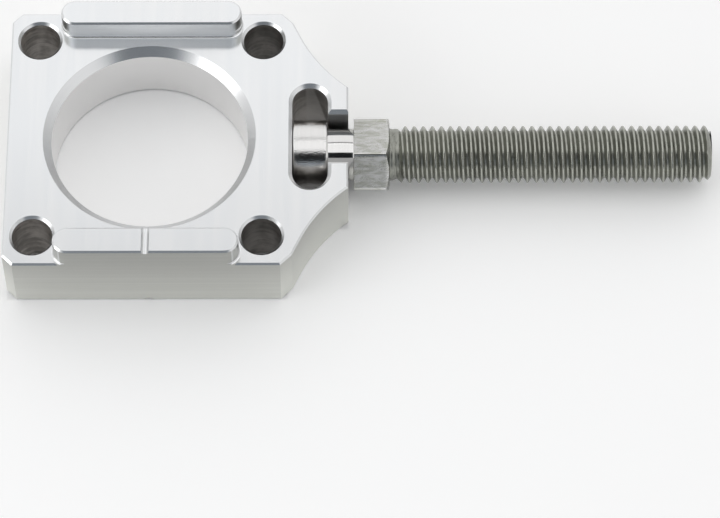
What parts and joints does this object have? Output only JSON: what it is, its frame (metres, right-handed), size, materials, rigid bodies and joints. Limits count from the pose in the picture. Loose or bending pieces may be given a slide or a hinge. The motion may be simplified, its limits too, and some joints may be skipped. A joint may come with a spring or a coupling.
{
  "type": "motorcycle chain adjuster",
  "caption": "Machined axle block with a captive T-headed adjuster bolt that turns in its slot and draws the rear axle back to tighten a motorcycle's drive chain.",
  "frame": {"origin": "on the axle bore's axis, in the plane of the block's flat side", "axes": "+Z along the bore out of the rail side, +X along the adjuster bolt away from the bore, -Y towards the long side with the index grooves"},
  "size_m": [0.0967, 0.04, 0.0134],
  "materials": {
    "machined_aluminium": "bright machined, clear anodised",
    "stainless_steel": "turned and polished, thread as rolled"
  },
  "bodies": {
    "block": {"axle_block": "machined_aluminium"},
    "bolt": {"adjuster_bolt": "stainless_steel"}
  },
  "joints": [
    {"name": "bolt_spin", "type": "hinge", "parent": "block", "child": "bolt", "pos_m": [0.022, 0, 0.005], "axis": [1, 0, 0], "continuous": true}
  ]
}
